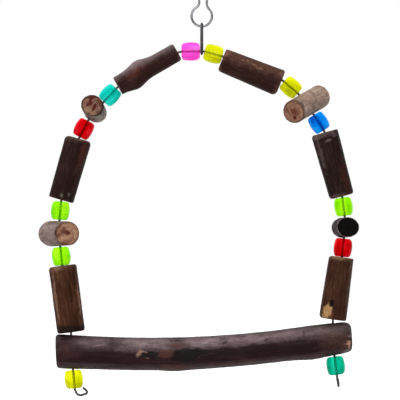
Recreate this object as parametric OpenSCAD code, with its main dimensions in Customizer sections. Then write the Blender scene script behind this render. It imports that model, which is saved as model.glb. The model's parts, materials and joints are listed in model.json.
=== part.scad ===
// Bird swing: an arch of stiff wire, threaded with drilled branch pieces, cross logs and beads,
// that carries a wooden perch. A link and a wire clip hang the arch from a cage bar.
// The arch lies in the XZ plane. The origin is the middle of the clip's upper loop, where the bar goes.

/* [Wire] */
// Thickness of the wire of the arch
arch_wire_d = 1.2; // [0.8:0.1:1.4]
// Thickness of the wire of the clip
hook_wire_d = 1.2; // [0.8:0.1:1.4]
// Thickness of the wire of the link
link_wire_d = 1.0; // [0.8:0.1:1.2]
// Gap left between threaded pieces that lean on each other
play = 0.1; // [0.1:0.05:0.3]
// Gap left where a branch stands on the perch
perch_play = 0.1; // [0.1:0.05:0.6]

/* [Clip] */
// Radius of the upper loop, to the middle of the wire
hook_loop_r = 5.6; // [5:0.1:7]
// Radius of the lower bulb, to the middle of the wire
hook_bulb_r = 5.1; // [4.6:0.1:6]
// Distance from the middle of the loop down to the middle of the bulb
hook_drop = 15.1; // [14.6:0.1:18]
// Distance from the middle of the clip to its left strand
hook_left_x = 1.3; // [1.2:0.1:2]
// Distance from the middle of the clip to its right strand
hook_right_x = 2.5; // [2.3:0.1:3]
// Bend radius where the left strand leaves the bulb
hook_left_bend_r = 3; // [2:0.1:4]
// Bend radius where the right strand leaves the bulb
hook_right_bend_r = 4; // [2.5:0.1:4.5]
// Bend radius where the left strand opens into the loop
hook_shoulder_r = 1.6; // [1.2:0.1:2]
// Bend radius where the right strand flares out
hook_flare_r = 1.5; // [1.2:0.1:2.5]
// Gap between the loop's free end and the flared strand that holds it
hook_lap_gap = 0.3; // [0.2:0.05:0.5]

/* [Link] */
// Length of the link between the middles of the two wires that it joins
link_span = 12.5; // [11:0.1:16]
// Gap between the link and the wires in its two ends
link_play = 0.3; // [0.2:0.05:0.5]
// Turn of the link about its own length
link_yaw = 12; // [0:1:15]

/* [Beads] */
// Diameter of a bead
bead_d = 9.4; // [8:0.1:10]
// Length of a bead
bead_len = 9.2; // [8:0.1:10]
// Radius of the round edge of a bead
bead_edge_r = 1.6; // [1:0.1:2]
// Radius of the barrel curve along a bead's side
bead_barrel_r = 13; // [10:1:20]
// Diameter of the hole through a bead
bead_bore_d = 2.6; // [2.2:0.1:2.8]

/* [Branches on the left] */
// Length of the upper left branch
upper_left_len = 34.5; // [30:0.1:40]
// Diameter of the upper left branch at its upper end
upper_left_top_d = 9.4; // [8:0.1:12]
// Diameter of the upper left branch at its lower end
upper_left_low_d = 9.6; // [8:0.1:12]
// How far the upper left branch's middle lies out from its hole, away from the arch
upper_left_off = 0.6; // [-2:0.1:2]
// Length of the middle left branch
middle_left_len = 32; // [28:0.1:36]
// Diameter of the middle left branch at its upper end
middle_left_top_d = 13.7; // [9:0.1:15]
// Diameter of the middle left branch at its lower end
middle_left_low_d = 13.0; // [9:0.1:15]
// How far the middle left branch's middle lies out from its hole, away from the arch
middle_left_off = 0.2; // [-2:0.1:2]
// Length of the lower left branch
lower_left_len = 33.5; // [28:0.1:38]
// Diameter of the lower left branch at its upper end
lower_left_top_d = 14.1; // [9:0.1:15]
// Diameter of the lower left branch at its lower end
lower_left_low_d = 14.2; // [9:0.1:15]
// How far the lower left branch's middle lies out from its hole, away from the arch
lower_left_off = -0.2; // [-2:0.1:2]

/* [Branches on the right] */
// Length of the upper right branch
upper_right_len = 31.6; // [28:0.1:36]
// Diameter of the upper right branch at its upper end
upper_right_top_d = 12.0; // [9:0.1:15]
// Diameter of the upper right branch at its lower end
upper_right_low_d = 13.6; // [9:0.1:15]
// How far the upper right branch's middle lies out from its hole, away from the arch
upper_right_off = -1.7; // [-2:0.1:2]
// Length of the middle right branch
middle_right_len = 33.2; // [28:0.1:38]
// Diameter of the middle right branch at its upper end
middle_right_top_d = 14.0; // [9:0.1:15]
// Diameter of the middle right branch at its lower end
middle_right_low_d = 12.7; // [9:0.1:15]
// How far the middle right branch's middle lies out from its hole, away from the arch
middle_right_off = -0.1; // [-2:0.1:2]
// Length of the lower right branch
lower_right_len = 31.4; // [28:0.1:36]
// Diameter of the lower right branch at its upper end
lower_right_top_d = 12.5; // [9:0.1:15]
// Diameter of the lower right branch at its lower end
lower_right_low_d = 14.0; // [9:0.1:15]
// How far the lower right branch's middle lies out from its hole, away from the arch
lower_right_off = -0.3; // [-2:0.1:2]

/* [Cross logs] */
// Thickness of the upper left log along the wire
upper_left_log_d = 10.7; // [9:0.1:13]
// Length of the upper left log
upper_left_log_len = 17; // [14:0.5:24]
// How far the upper left log's middle lies out from its hole, away from the arch
upper_left_log_off = 1.5; // [-2:0.1:2]
// Thickness of the lower left log along the wire
lower_left_log_d = 12.6; // [9:0.1:13]
// Length of the lower left log
lower_left_log_len = 17.5; // [14:0.5:24]
// How far the lower left log's middle lies out from its hole, away from the arch
lower_left_log_off = 0.4; // [-2:0.1:2]
// Thickness of the upper right log along the wire
upper_right_log_d = 11.8; // [9:0.1:13]
// Length of the upper right log
upper_right_log_len = 24.5; // [14:0.5:28]
// How far the upper right log's middle lies out from its hole, away from the arch
upper_right_log_off = 0.3; // [-2:0.1:2]
// Thickness of the lower right log along the wire
lower_right_log_d = 10.2; // [9:0.1:13]
// Length of the lower right log
lower_right_log_len = 17.5; // [14:0.5:24]
// How far the lower right log's middle lies out from its hole, away from the arch
lower_right_log_off = 0.5; // [-2:0.1:2]
// Diameter of the hole drilled through the logs and the branches
wood_bore_d = 2.4; // [2.2:0.1:2.8]

/* [Perch] */
// Diameter of the perch
perch_d = 16.6; // [14:0.1:18]
// Length of the perch past the left wire
perch_left_over = 8; // [7:0.1:10]
// Length of the perch past the right wire
perch_right_over = 9.8; // [8:0.1:12]
// Sag of the perch's middle below a straight line
perch_bow = 3.6; // [0:0.1:5]
// Shift of that sag towards the left end
perch_bow_skew = 0.1; // [0:0.1:0.6]
// Radius of the perch's worn end edges
perch_edge_r = 1.8; // [1:0.1:2.5]

/* [Wire ends] */
// Radius of the tight bends at the foot and the tip of each curled end of the arch wire
curl_tip_r = 0.9; // [0.8:0.1:1.5]
// First lean of a curl
curl_lean = 20; // [5:1:40]
// Straight run after the lean
curl_slant = 1.6; // [0.5:0.1:2.5]
// Radius of the wide bend of a curl
curl_r = 2.4; // [2:0.1:3]
// Sweep of the wide bend
curl_sweep = 83; // [60:1:110]
// Straight run from there to the tip
curl_reach = 2; // [0.5:0.1:2.5]
// Sweep of the bend at the tip
curl_tip_sweep = 120; // [90:1:130]
// Straight tail that comes back toward the bead
curl_tail = 1.9; // [0.5:0.1:1.9]
// Straight wire below the left end bead
left_lead = 0.3; // [0.3:0.1:3]
// Straight wire below the right end bead
right_lead = 2.6; // [2:0.1:5]
// Turn of the right curl out of the plane of the arch
right_curl_turn = 95; // [0:5:180]

/* [Hidden] */
$fn = 64;
LEFT = -1;
RIGHT = 1;

// Lengths of wire stop this far short of each other, inside a knuckle a little thicker than the wire.
seam = 0.02;
KNUCKLE_SCALE = 1.03;

// Width of the worn edge where a branch or a log is sawn off.
sawn_edge = 0.5;

// Direction of the wire through each piece, from the top bead down, in degrees below level.
// The perch's holes come after these, square to the perch, and then the end bead.
left_slopes = [1, 29.8, 47.1, 49.6, 62.7, 74, 85.2, 91.6, 95.6, 97.6];
right_slopes = [14.9, 21.9, 40.7, 53.7, 57.6, 74.7, 82.8, 92.3, 95.9, 98.1];
left_end_slope = 95;
right_end_slope = 83;

// How far the sides of each piece slant against its wire. The logs lie a little off square.
left_slants = [0, 0, 0, 5, 0, 0, 0, 2, 0, 0];
right_slants = [0, 0, 0, 3.5, 0, 0, 0, 2, 0, 0];

// Lengths of the threaded pieces along the wire, from the top bead to the lower branch.
left_runs = [
    bead_len, upper_left_len, bead_len, upper_left_log_d, bead_len,
    middle_left_len, bead_len, lower_left_log_d, bead_len, lower_left_len
];
right_runs = [
    bead_len, upper_right_len, bead_len, upper_right_log_d, bead_len,
    middle_right_len, bead_len, lower_right_log_d, bead_len, lower_right_len
];

// The link's ends, and the height of the arch wire in its lower end.
link_end_r = max(arch_wire_d, hook_wire_d) / 2 + link_play + link_wire_d / 2;
link_reach_x = link_end_r * sin(link_yaw) + link_wire_d / 2;
link_reach_r = link_end_r + link_wire_d / 2;
bulb_z = -hook_drop;
link_top_z = bulb_z - hook_bulb_r;
arch_top_z = link_top_z - link_span;

// The arch wire stays level for this far either side of the link's middle.
level_half = link_reach_x / 2;

// Radius of a bead's flat end. A slanting neighbour meets the round edge about it.
bead_flat_r = bead_d / 2 - bead_edge_r;

// Points on the arch are [distance outwards, distance down] from the middle of its top.
function heading(slope) = [cos(slope), sin(slope)];
function bead_reach(turn) = bead_flat_r * sin(abs(turn)) + bead_edge_r * (1 - cos(turn));
function corner_gap(turn, slant = 0) = 2 * (bead_reach(abs(turn) + slant) + play) / (1 + cos(turn));
function corner(slopes, slants, i) =
    corner_gap(slopes[i + 1] - slopes[i], max(slants[i], slants[i + 1]));
function first_gap(slope) = link_reach_x + link_reach_r * sin(slope) + play;
function first_point(slope) =
    let(gap = first_gap(slope))
    (gap + level_half) / 2 * heading(0) + (gap - level_half) / 2 * heading(slope);

// Upper end of each piece's hole: every bend takes up the gap between two pieces.
function tops(runs, slopes, slants) = [
    for (
        i = 0, p = first_point(slopes[0]);
        i < len(runs);
        p = p + runs[i] * heading(slopes[i])
            + (i + 1 < len(runs) ? corner(slopes, slants, i) / 2
                * (heading(slopes[i]) + heading(slopes[i + 1])) : [0, 0]),
        i = i + 1
    ) p
];
left_tops = tops(left_runs, left_slopes, left_slants);
right_tops = tops(right_runs, right_slopes, right_slants);
last = len(left_runs) - 1;
left_foot = left_tops[last] + left_runs[last] * heading(left_slopes[last]);
right_foot = right_tops[last] + right_runs[last] * heading(right_slopes[last]);

// Wood is a little out of round, and swells at each knot. The shares of a knot are its place along
// the piece, its angle, its height against the radius, its half length and its half width in degrees.
WOOD_SIDES = 24;
OVAL_SHARE = 0.015;
THREE_SIDED_SHARE = 0.012;
function apart(a, b) = abs((a - b + 540) % 360 - 180);
function swell(place_share, angle, knot_shares) = len(knot_shares) == 0 ? 0 : max([
    for (k = knot_shares)
        k[2] * exp(-pow((place_share - k[0]) / k[3], 2) - pow(apart(angle, k[1]) / k[4], 2))
]);
function girth(place_share, angle, phase, knot_shares) =
    1 + OVAL_SHARE * cos(2 * (angle - phase)) + THREE_SIDED_SHARE * cos(3 * angle + phase)
    + swell(place_share, angle, knot_shares);

// The perch's girth shares are places along its whole length, each with the thickness there.
perch_girth_shares = [
    [0, 1.05], [0.03, 1.045], [0.12, 1.02], [0.2, 1.005], [0.3, 1], [0.48, 1],
    [0.6, 0.985], [0.74, 0.975], [0.8, 0.99], [0.87, 1.01], [0.94, 0.98], [1, 0.92]
];
perch_knot_shares = [
    [0.4, 255, 0.08, 0.04, 50],
    [0.86, 255, 0.09, 0.04, 50]
];

// The perch's own lean at each hole, from its bow, in degrees.
feet_apart = left_foot[0] + right_foot[0];
left_lean = atan((perch_bow * PI + perch_bow_skew * 2 * PI) / feet_apart);
right_lean = atan((perch_bow * PI - perch_bow_skew * 2 * PI) / feet_apart);

// The perch's radius at a place along it, and how far it stands out there beyond half its diameter.
PERCH_PHASE = 40;
PERCH_TOP = 90;
PERCH_BOTTOM = 270;
perch_reach = perch_left_over + feet_apart + perch_right_over;
function perch_worn(x, long) =
    let(in = max(0, perch_edge_r - min(x, long - x)))
    perch_edge_r - sqrt(perch_edge_r * perch_edge_r - in * in);
function perch_r(x, long) = perch_d / 2 * lookup(x / long, perch_girth_shares) - perch_worn(x, long);
function perch_out(x, angle) =
    let(swell_share = girth(x / perch_reach, angle, PERCH_PHASE, perch_knot_shares))
    perch_r(x, perch_reach) * swell_share - perch_d / 2;

// Gap between a branch's lower end and the perch, along the wire, so that no part of the end touches.
// The perch stands out by outs below the end's inner edge, its middle and its outer edge.
left_foot_r = (lower_left_low_d - sawn_edge) / 2 + abs(lower_left_off);
right_foot_r = (lower_right_low_d - sawn_edge) / 2 + abs(lower_right_off);
left_outs = [for (i = [-1 : 1]) perch_out(max(0, perch_left_over - i * left_foot_r), PERCH_TOP)];
right_outs = [
    for (i = [-1 : 1])
        perch_out(min(perch_reach, perch_reach - perch_right_over + i * right_foot_r), PERCH_TOP)
];
function seat_gap(foot_r, slope, hole_slope, lean, outs) =
    let(
        turn = slope - (hole_slope - lean),
        reach = max([for (i = [-1 : 1]) i * foot_r * sin(turn) + outs[i + 1]])
    )
    2 * (reach + perch_play + perch_d / 2 * (1 - cos(lean))) / (cos(turn) + cos(lean));
function left_seat(tilt) =
    seat_gap(left_foot_r, left_slopes[last], 90 + tilt, left_lean, left_outs);
function right_seat(tilt) =
    seat_gap(right_foot_r, right_slopes[last], 90 - tilt, right_lean, right_outs);
function hole_point(foot, slope, hole_slope, seat) =
    foot + seat / 2 * heading(slope) + (seat / 2 + perch_d / 2) * heading(hole_slope);
function left_hole_at(tilt) = hole_point(left_foot, left_slopes[last], 90 + tilt, left_seat(tilt));
function right_hole_at(tilt) = hole_point(right_foot, right_slopes[last], 90 - tilt, right_seat(tilt));
function tilt_of(left, right) = atan2(left[1] - right[1], left[0] + right[0]);

// The perch's tilt is found from where its two holes come, and once more with that tilt.
rough_tilt = tilt_of(left_foot, right_foot);
hole_tilt = tilt_of(left_hole_at(rough_tilt), right_hole_at(rough_tilt));
left_hole = left_hole_at(hole_tilt);
right_hole = right_hole_at(hole_tilt);
perch_tilt = tilt_of(left_hole, right_hole);
perch_span = norm([left_hole[0] + right_hole[0], left_hole[1] - right_hole[1]]);
left_hole_slope = 90 + hole_tilt;
right_hole_slope = 90 - hole_tilt;

// The end beads hang below the perch.
left_drop = perch_out(perch_left_over, PERCH_BOTTOM);
right_drop = perch_out(perch_reach - perch_right_over, PERCH_BOTTOM);
function end_gap(turn, lean, drop) = corner_gap(abs(turn) + lean) + drop;
function end_top(hole, hole_slope, slope, lean, drop) =
    let(gap = end_gap(slope - hole_slope, lean, drop))
    hole + (perch_d / 2 + gap / 2) * heading(hole_slope) + gap / 2 * heading(slope);
left_end_top = end_top(left_hole, left_hole_slope, left_end_slope, left_lean, left_drop);
right_end_top = end_top(right_hole, right_hole_slope, right_end_slope, right_lean, right_drop);

// Middle of piece number i on a side, and its place in the frame.
function middle(tops, runs, slopes, i) = tops[i] + runs[i] / 2 * heading(slopes[i]);
function left_middle(i) = middle(left_tops, left_runs, left_slopes, i);
function right_middle(i) = middle(right_tops, right_runs, right_slopes, i);

// Shape helpers

// Ball in which two lengths of wire meet.
module knuckle(point, wire_d) {
    translate([point[0], 0, point[1]])
        sphere(d = KNUCKLE_SCALE * wire_d);
}

// Moves a piece to a point of the arch, with its own Z axis up along the wire.
module on_wire(side, point, slope) {
    translate([side * point[0], 0, arch_top_z - point[1]])
        rotate([0, -side * (90 - slope), 0])
            children();
}

// Straight wire from a point of the arch, drawn on the right and mirrored for the left.
// A knuckle at its lower end joins it to the next piece of wire.
module straight(point, slope, length) {
    translate([point[0], 0, -point[1]])
        rotate([0, 90 + slope, 0]) {
            translate([0, 0, seam])
                cylinder(d = arch_wire_d, h = length - 2 * seam);
            knuckle([0, length], arch_wire_d);
        }
}

// Bent wire from one slope to the next, with a knuckle at its lower end.
module bend(point, from, to, radius) {
    hand = to > from ? 1 : -1;
    centre = point + hand * radius * [-sin(from), cos(from)];
    foot = centre - hand * radius * [-sin(to), cos(to)];
    start_angle = 180 - hand * 90 - (hand > 0 ? to : from);
    wire_arc([centre[0], -centre[1]], radius, start_angle, start_angle + abs(to - from), arch_wire_d);
    knuckle([foot[0], -foot[1]], arch_wire_d);
}

// Part of a ring of wire in the XZ plane, from one angle to another, a seam short at both ends.
module wire_arc(centre, radius, from, to, wire_d) {
    seam_angle = seam / radius * 180 / PI;
    translate([centre[0], 0, centre[1]])
        rotate([90, 0, 0])
            rotate([0, 0, from + seam_angle])
                rotate_extrude(angle = to - from - 2 * seam_angle)
                    translate([radius, 0])
                        circle(d = wire_d);
}

// Upright wire in the XZ plane, a seam short at both ends.
module wire_up(x, from_z, to_z, wire_d) {
    translate([x, 0, from_z + seam])
        cylinder(d = wire_d, h = to_z - from_z - 2 * seam);
}

// One side of the arch wire, from its level top to the end of the hole through the last bead.
module wire_side(tops, runs, slopes, slants) {
    gap = first_gap(slopes[0]);
    straight([0, 0], 0, level_half);
    bend([level_half, 0], 0, slopes[0], (gap - level_half) / 2 / tan(slopes[0] / 2));
    for (i = [0 : len(runs) - 1]) {
        straight(tops[i], slopes[i], runs[i]);
    }
    for (i = [0 : len(runs) - 2]) {
        turn = slopes[i + 1] - slopes[i];
        foot = tops[i] + runs[i] * heading(slopes[i]);
        bend(foot, slopes[i], slopes[i + 1], corner(slopes, slants, i) / 2 / tan(abs(turn) / 2));
    }
}

// The wire through the perch and the end bead.
module wire_foot(foot, slope, seat, hole, hole_slope, end_slope, end_top, end_run) {
    seat_turn = hole_slope - slope;
    end_turn = end_slope - hole_slope;
    hole_low = hole + perch_d / 2 * heading(hole_slope);
    bend(foot, slope, hole_slope, seat / 2 / tan(abs(seat_turn) / 2));
    straight(hole - perch_d / 2 * heading(hole_slope), hole_slope, perch_d);
    bend(hole_low, hole_slope, end_slope, end_run / 2 / tan(abs(end_turn) / 2));
    straight(end_top, end_slope, bead_len);
}

// One bend of a curl, with a knuckle at its end, from where the curl goes on along Z.
module curl_bend(r, sweep) {
    wire_arc([r, 0], r, 180 - sweep, 180, arch_wire_d);
    translate([r * (1 - cos(sweep)), 0, r * sin(sweep)])
        rotate([0, sweep, 0]) {
            knuckle([0, 0], arch_wire_d);
            children();
        }
}

// One straight run of a curl along Z, with a knuckle at its end.
module curl_run(length) {
    wire_up(0, 0, length, arch_wire_d);
    knuckle([0, length], arch_wire_d);
    translate([0, 0, length])
        children();
}

// Curled wire end below an end bead. A turn swings the curl out of the plane of the arch.
module curl(end_top, slope, lead, turn) {
    start = end_top + bead_len * heading(slope);
    straight(start, slope, lead);
    foot = start + lead * heading(slope);
    translate([foot[0], 0, -foot[1]])
        rotate([0, 90 + slope, 0])
            rotate([0, 0, turn])
                curl_bend(curl_tip_r, curl_lean)
                    curl_run(curl_slant)
                        curl_bend(curl_r, curl_sweep)
                            curl_run(curl_reach)
                                curl_bend(curl_tip_r, curl_tip_sweep)
                                    curl_run(curl_tail);
}

// Closed solid through a stack of rings, each a list of points that goes round anticlockwise.
module stack(rings) {
    n = len(rings[0]);
    m = len(rings);
    function at(i, k) = i * n + k % n;
    polyhedron(
        points = [for (ring = rings) each ring],
        faces = concat(
            [[for (k = [0 : n - 1]) k]],
            [[for (k = [n - 1 : -1 : 0]) (m - 1) * n + k]],
            [for (i = [0 : m - 2], k = [0 : n - 1]) [at(i, k), at(i + 1, k), at(i + 1, k + 1)]],
            [for (i = [0 : m - 2], k = [0 : n - 1]) [at(i, k), at(i + 1, k + 1), at(i, k + 1)]]
        ),
        convexity = 4
    );
}

// A sawn piece of branch along Z about its middle, with its sawn edges a little worn.
BRANCH_STEPS = 14;
module sawn_wood(length, top_d, low_d, squash, phase, knot_shares) {
    half = length / 2;
    inner = half - sawn_edge;
    step = 2 * inner / BRANCH_STEPS;
    places = concat([-half], [for (i = [0 : BRANCH_STEPS]) i * step - inner], [half]);
    function share(z) = (z + half) / length;
    function wood_r(z) = (low_d + (top_d - low_d) * share(z) - (abs(z) > inner ? sawn_edge : 0)) / 2;
    stack([
        for (z = places) [
            for (k = [0 : WOOD_SIDES - 1])
                let(a = 360 * k / WOOD_SIDES, r = wood_r(z) * girth(share(z), a, phase, knot_shares))
                [r * cos(a), squash * r * sin(a), z]
        ]
    ]);
}

// A branch is drilled a little off its middle. The offset is outwards from the arch.
module branch(side, length, top_d, low_d, off, phase, knot_shares) {
    difference() {
        translate([side * off, 0, 0])
            sawn_wood(length, top_d, low_d, 1, phase, knot_shares);
        cylinder(d = wood_bore_d, h = 2 * length, center = true);
    }
}

// A log lies across the wire and is drilled near its middle. Spin turns it about the wire, and pitch
// raises its front end. The cone share makes it that much thicker behind and thinner in front.
LOG_WIDER = 1.1;
module cross_log(side, thick, length, off, spin, pitch, cone_share, phase) {
    wide = thick * LOG_WIDER;
    rotate([0, 0, spin])
        difference() {
            translate([side * off, 0, 0])
                rotate([90 - pitch, 0, 0])
                    sawn_wood(
                        length, wide * (1 - cone_share), wide * (1 + cone_share),
                        1 / LOG_WIDER, phase, []
                    );
            cylinder(d = wood_bore_d, h = 2 * thick, center = true);
        }
}

// A bead stands on its hole, about its middle.
module bead() {
    translate([0, 0, -bead_len / 2])
        rotate_extrude()
            difference() {
                intersection() {
                    union() {
                        square([bead_flat_r, bead_len]);
                        translate([0, bead_edge_r])
                            square([bead_d / 2, bead_len - 2 * bead_edge_r]);
                        translate([bead_flat_r, bead_edge_r])
                            circle(r = bead_edge_r);
                        translate([bead_flat_r, bead_len - bead_edge_r])
                            circle(r = bead_edge_r);
                    }
                    translate([bead_d / 2 - bead_barrel_r, bead_len / 2])
                        circle(r = bead_barrel_r);
                }
                square([bead_bore_d / 2, bead_len]);
            }
}

module left_piece(i) {
    on_wire(LEFT, left_middle(i), left_slopes[i])
        children();
}

module right_piece(i) {
    on_wire(RIGHT, right_middle(i), right_slopes[i])
        children();
}

// Hanging parts

// The clip is one wire: a bulb below, two strands at the neck, and a loop above whose free end
// springs behind the flared right strand.
LOOP_END = -50;
LAP_END = -22;
function toward(angle) = [cos(angle), sin(angle)];
module hook() {
    d = hook_wire_d;
    bulb = [0, bulb_z];
    lap_r = hook_loop_r + d + hook_lap_gap;
    left_x = -(hook_left_x + hook_left_bend_r);
    left_reach = hook_bulb_r + hook_left_bend_r;
    left_bend = [left_x, bulb_z + sqrt(left_reach * left_reach - left_x * left_x)];
    right_x = hook_right_x + hook_right_bend_r;
    right_reach = hook_bulb_r + hook_right_bend_r;
    right_bend = [right_x, bulb_z + sqrt(right_reach * right_reach - right_x * right_x)];
    shoulder_x = -(hook_left_x + hook_shoulder_r);
    shoulder_reach = hook_loop_r + hook_shoulder_r;
    shoulder = [shoulder_x, -sqrt(shoulder_reach * shoulder_reach - shoulder_x * shoulder_x)];
    flare_x = hook_right_x + hook_flare_r;
    flare_reach = lap_r + hook_flare_r;
    flare = [flare_x, -sqrt(flare_reach * flare_reach - flare_x * flare_x)];
    left_angle = atan2(left_bend[1] - bulb_z, left_x);
    right_angle = atan2(right_bend[1] - bulb_z, right_x);
    shoulder_angle = atan2(-shoulder[1], -shoulder_x);
    flare_angle = atan2(-flare[1], -flare_x);
    color("dimgray") {
        wire_arc(bulb, hook_bulb_r, left_angle, 360 + right_angle, d);
        wire_arc(left_bend, hook_left_bend_r, left_angle - 180, 0, d);
        wire_up(-hook_left_x, left_bend[1], shoulder[1], d);
        wire_arc(shoulder, hook_shoulder_r, 0, shoulder_angle, d);
        wire_arc([0, 0], hook_loop_r, LOOP_END, 180 + shoulder_angle, d);
        wire_arc(right_bend, hook_right_bend_r, 180, 180 + right_angle, d);
        wire_up(hook_right_x, right_bend[1], flare[1], d);
        wire_arc(flare, hook_flare_r, flare_angle, 180, d);
        wire_arc([0, 0], lap_r, flare_angle - 180, LAP_END, d);
        knuckle(bulb + hook_bulb_r * toward(left_angle), d);
        knuckle([-hook_left_x, left_bend[1]], d);
        knuckle([-hook_left_x, shoulder[1]], d);
        knuckle(hook_loop_r * toward(180 + shoulder_angle), d);
        knuckle(hook_loop_r * toward(LOOP_END), d);
        knuckle(bulb + hook_bulb_r * toward(right_angle), d);
        knuckle([hook_right_x, right_bend[1]], d);
        knuckle([hook_right_x, flare[1]], d);
        knuckle(lap_r * toward(flare_angle - 180), d);
        knuckle(lap_r * toward(LAP_END), d);
    }
}

// The link is a long closed ring round the bottom of the clip's bulb and the top of the arch.
module link() {
    color("dimgray")
        rotate([0, 0, 90 + link_yaw]) {
            wire_arc([0, link_top_z], link_end_r, 0, 180, link_wire_d);
            wire_arc([0, arch_top_z], link_end_r, 180, 360, link_wire_d);
            for (x = [-link_end_r, link_end_r]) {
                wire_up(x, arch_top_z, link_top_z, link_wire_d);
                knuckle([x, link_top_z], link_wire_d);
                knuckle([x, arch_top_z], link_wire_d);
            }
        }
}

// Arch

module arch_wire() {
    color("dimgray")
        translate([0, 0, arch_top_z]) {
            wire_side(right_tops, right_runs, right_slopes, right_slants);
            wire_foot(
                right_foot, right_slopes[last], right_seat(hole_tilt), right_hole,
                right_hole_slope, right_end_slope, right_end_top,
                end_gap(right_end_slope - right_hole_slope, right_lean, right_drop)
            );
            curl(right_end_top, right_end_slope, right_lead, right_curl_turn);
            mirror([1, 0, 0]) {
                wire_side(left_tops, left_runs, left_slopes, left_slants);
                wire_foot(
                    left_foot, left_slopes[last], left_seat(hole_tilt), left_hole,
                    left_hole_slope, left_end_slope, left_end_top,
                    end_gap(left_end_slope - left_hole_slope, left_lean, left_drop)
                );
                curl(left_end_top, left_end_slope, left_lead, 0);
            }
        }
}

// The perch runs along its own X axis from the left hole to the right hole.
PERCH_STEPS = 46;
module perch() {
    long = perch_left_over + perch_span + perch_right_over;
    inner = long - 2 * perch_edge_r;
    places = concat(
        [0, perch_edge_r * (1 - cos(60))],
        [for (i = [0 : PERCH_STEPS]) perch_edge_r + inner * i / PERCH_STEPS],
        [long - perch_edge_r * (1 - cos(60)), long]
    );
    function sag(x) =
        let(u = (x - perch_left_over) / perch_span)
        perch_bow * sin(180 * u) + perch_bow_skew * sin(360 * u);
    color([0.24, 0.15, 0.13])
        difference() {
            translate([-left_hole[0], 0, arch_top_z - left_hole[1]])
                rotate([0, -perch_tilt, 0])
                    stack([
                        for (x = places) [
                            for (k = [0 : WOOD_SIDES - 1])
                                let(
                                    a = 360 * k / WOOD_SIDES,
                                    swell_share = girth(x / long, a, PERCH_PHASE, perch_knot_shares),
                                    r = perch_r(x, long) * swell_share
                                )
                                [x - perch_left_over, r * cos(a), r * sin(a) - sag(x)]
                        ]
                    ]);
            on_wire(LEFT, left_hole, left_hole_slope)
                cylinder(d = wood_bore_d, h = 2 * perch_d, center = true);
            on_wire(RIGHT, right_hole, right_hole_slope)
                cylinder(d = wood_bore_d, h = 2 * perch_d, center = true);
        }
}

// Left side, from the top down

module bead_pink() {
    color([1, 0.31, 0.88])
        left_piece(0)
            bead();
}

module branch_upper_left() {
    knot_shares = [[0.39, 180, 0.4, 0.14, 60], [0.26, 0, 0.38, 0.14, 60]];
    color([0.25, 0.16, 0.14])
        left_piece(1)
            branch(
                LEFT, upper_left_len, upper_left_top_d, upper_left_low_d, upper_left_off,
                30, knot_shares
            );
}

module bead_teal() {
    color([0, 0.84, 0.75])
        left_piece(2)
            bead();
}

module log_upper_left() {
    color([0.6, 0.54, 0.5])
        left_piece(3)
            cross_log(
                LEFT, upper_left_log_d, upper_left_log_len, upper_left_log_off,
                -9, left_slants[3], 0, 20
            );
}

module bead_red_left() {
    color([0.84, 0, 0.05])
        left_piece(4)
            bead();
}

module branch_middle_left() {
    color([0.22, 0.14, 0.13])
        left_piece(5)
            branch(
                LEFT, middle_left_len, middle_left_top_d, middle_left_low_d, middle_left_off,
                75, []
            );
}

module bead_lime_above_log() {
    color([0.55, 1, 0.08])
        left_piece(6)
            bead();
}

module log_lower_left() {
    color([0.6, 0.53, 0.49])
        left_piece(7)
            cross_log(
                LEFT, lower_left_log_d, lower_left_log_len, lower_left_log_off,
                31, 0, 0.03, 160
            );
}

module bead_lime_below_log() {
    color([0.55, 1, 0.08])
        left_piece(8)
            bead();
}

module branch_lower_left() {
    color([0.3, 0.19, 0.15])
        left_piece(9)
            branch(
                LEFT, lower_left_len, lower_left_top_d, lower_left_low_d, lower_left_off,
                130, []
            );
}

module bead_yellow_end() {
    color([0.9, 0.92, 0.12])
        on_wire(LEFT, left_end_top + bead_len / 2 * heading(left_end_slope), left_end_slope)
            bead();
}

// Right side, from the top down

module bead_yellow_top() {
    color([0.9, 0.92, 0.12])
        right_piece(0)
            bead();
}

module branch_upper_right() {
    color([0.22, 0.13, 0.12])
        right_piece(1)
            branch(
                RIGHT, upper_right_len, upper_right_top_d, upper_right_low_d, upper_right_off,
                10, []
            );
}

module bead_yellow_side() {
    color([0.9, 0.92, 0.12])
        right_piece(2)
            bead();
}

module log_upper_right() {
    color([0.6, 0.54, 0.49])
        right_piece(3)
            cross_log(
                RIGHT, upper_right_log_d, upper_right_log_len, upper_right_log_off,
                -39, right_slants[3], 0, 200
            );
}

module bead_blue() {
    color([0, 0.47, 0.94])
        right_piece(4)
            bead();
}

module branch_middle_right() {
    color([0.2, 0.13, 0.12])
        right_piece(5)
            branch(
                RIGHT, middle_right_len, middle_right_top_d, middle_right_low_d, middle_right_off,
                95, []
            );
}

module bead_lime_right() {
    color([0.55, 1, 0.08])
        right_piece(6)
            bead();
}

module log_lower_right() {
    color([0.3, 0.25, 0.24])
        right_piece(7)
            cross_log(
                RIGHT, lower_right_log_d, lower_right_log_len, lower_right_log_off,
                7, right_slants[7], 0, 345
            );
}

module bead_red_right() {
    color([0.84, 0, 0.05])
        right_piece(8)
            bead();
}

module branch_lower_right() {
    color([0.25, 0.16, 0.14])
        right_piece(9)
            branch(
                RIGHT, lower_right_len, lower_right_top_d, lower_right_low_d, lower_right_off,
                50, []
            );
}

module bead_green_end() {
    color([0.08, 0.8, 0.6])
        on_wire(RIGHT, right_end_top + bead_len / 2 * heading(right_end_slope), right_end_slope)
            bead();
}

hook();
link();
arch_wire();
perch();
bead_pink();
branch_upper_left();
bead_teal();
log_upper_left();
bead_red_left();
branch_middle_left();
bead_lime_above_log();
log_lower_left();
bead_lime_below_log();
branch_lower_left();
bead_yellow_end();
bead_yellow_top();
branch_upper_right();
bead_yellow_side();
log_upper_right();
bead_blue();
branch_middle_right();
bead_lime_right();
log_lower_right();
bead_red_right();
branch_lower_right();
bead_green_end();
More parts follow.
